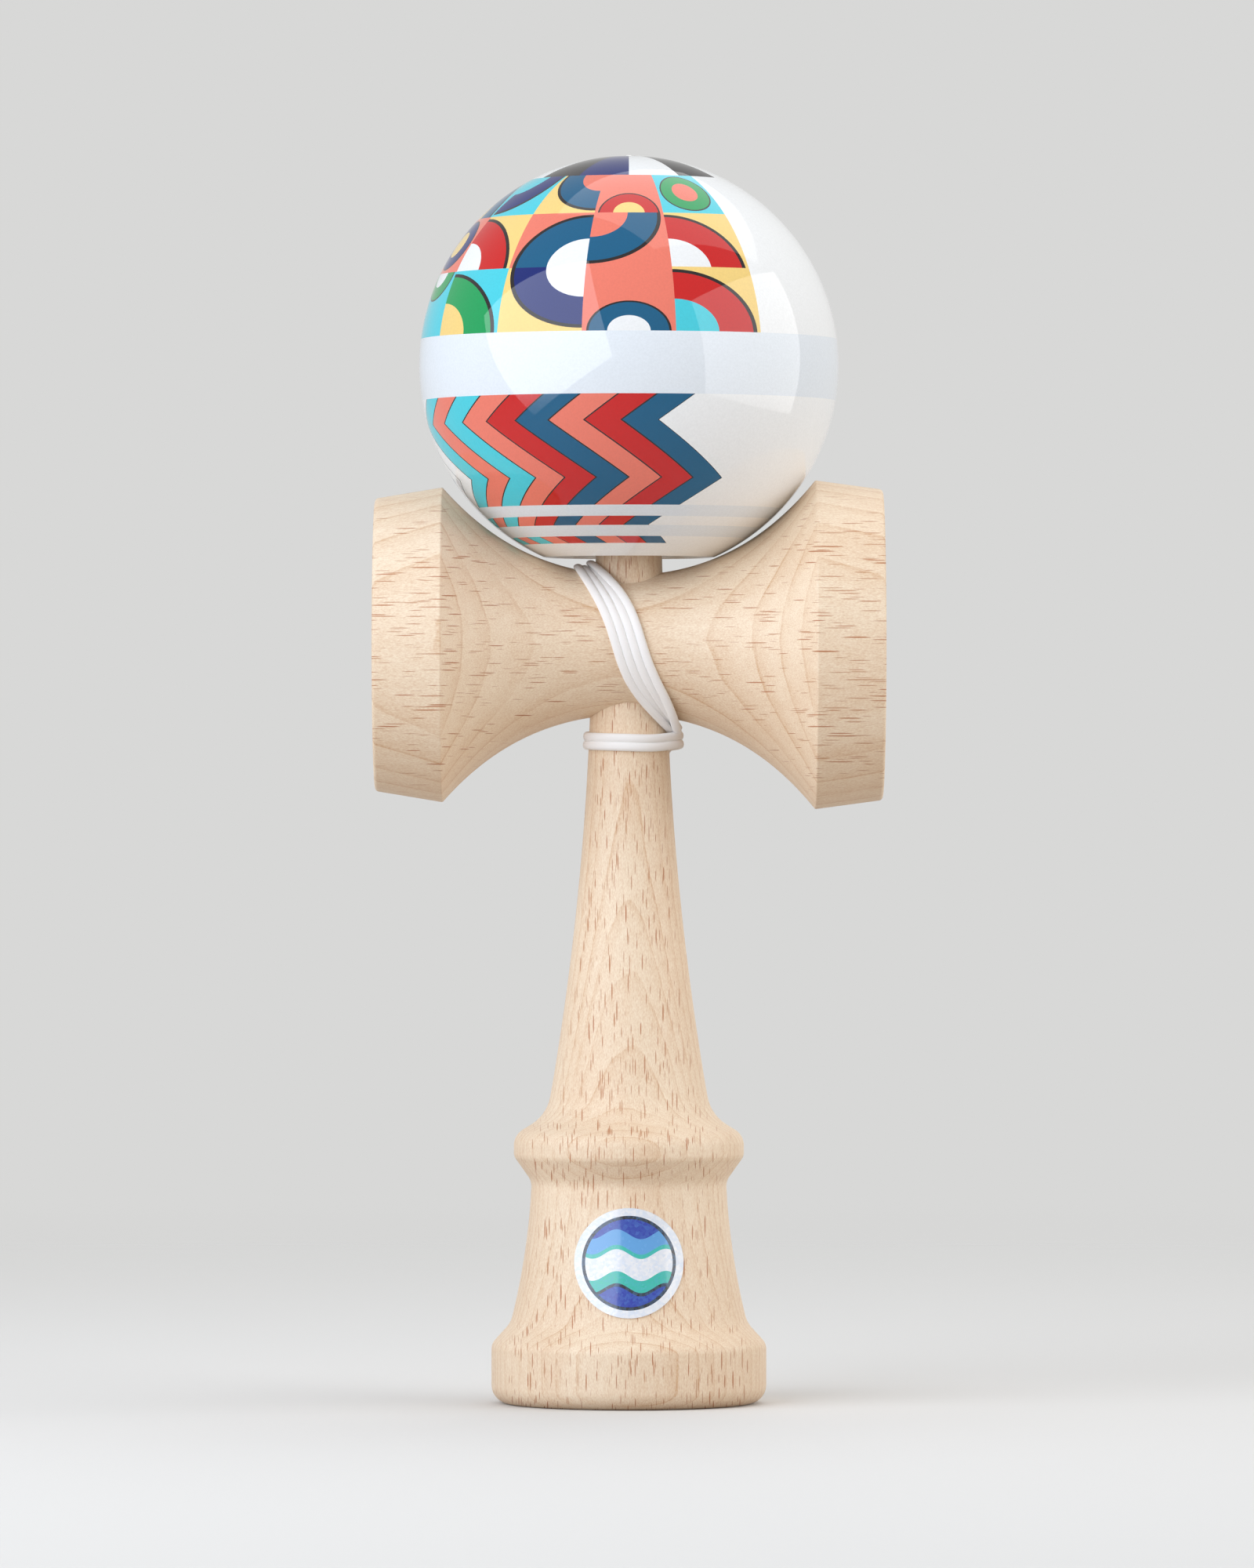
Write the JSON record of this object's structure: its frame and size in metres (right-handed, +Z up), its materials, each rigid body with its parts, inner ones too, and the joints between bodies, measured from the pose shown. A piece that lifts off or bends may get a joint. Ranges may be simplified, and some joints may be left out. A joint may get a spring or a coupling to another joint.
{
  "type": "kendama",
  "caption": "Wooden ball-and-cup toy: a bored ball on a spiked handle with a cupped cross-piece and base, its string lashed round the waist of the cross-piece.",
  "frame": {"origin": "centre of the base cup's rim, on the surface the toy stands on", "axes": "+Z up along the handle and its spike, +X along the cross-piece towards its big cup, -Y is the front"},
  "size_m": [0.0726, 0.0613, 0.1797],
  "materials": {
    "ken_wood": "sanded pale beech, satin",
    "sarado_wood": "sanded pale beech, satin",
    "tama_lacquer": "white paint with colour blocks under a clear gloss lacquer",
    "bead_wood": "plain turned wood",
    "string_nylon": "white twisted filament string",
    "sticker_film": "printed film decal"
  },
  "bodies": {
    "handle": {"ken": "ken_wood", "sarado": "sarado_wood", "anchor_knot": "string_nylon", "string_lashing": "string_nylon", "sticker": "sticker_film"},
    "bead_swivel": {"bead": "bead_wood", "bead_knot": "string_nylon", "string_lead": "string_nylon"},
    "ball": {"tama": "tama_lacquer"}
  },
  "joints": [
    {"name": "ball_lift", "type": "slide", "parent": "handle", "child": "bead_swivel", "axis": [0, 0, 1], "range_m": [0, 0.05]},
    {"name": "ball_spin", "type": "hinge", "parent": "bead_swivel", "child": "ball", "pos_m": [0, 0, 0.1483], "axis": [0, 0, 1], "continuous": true}
  ]
}
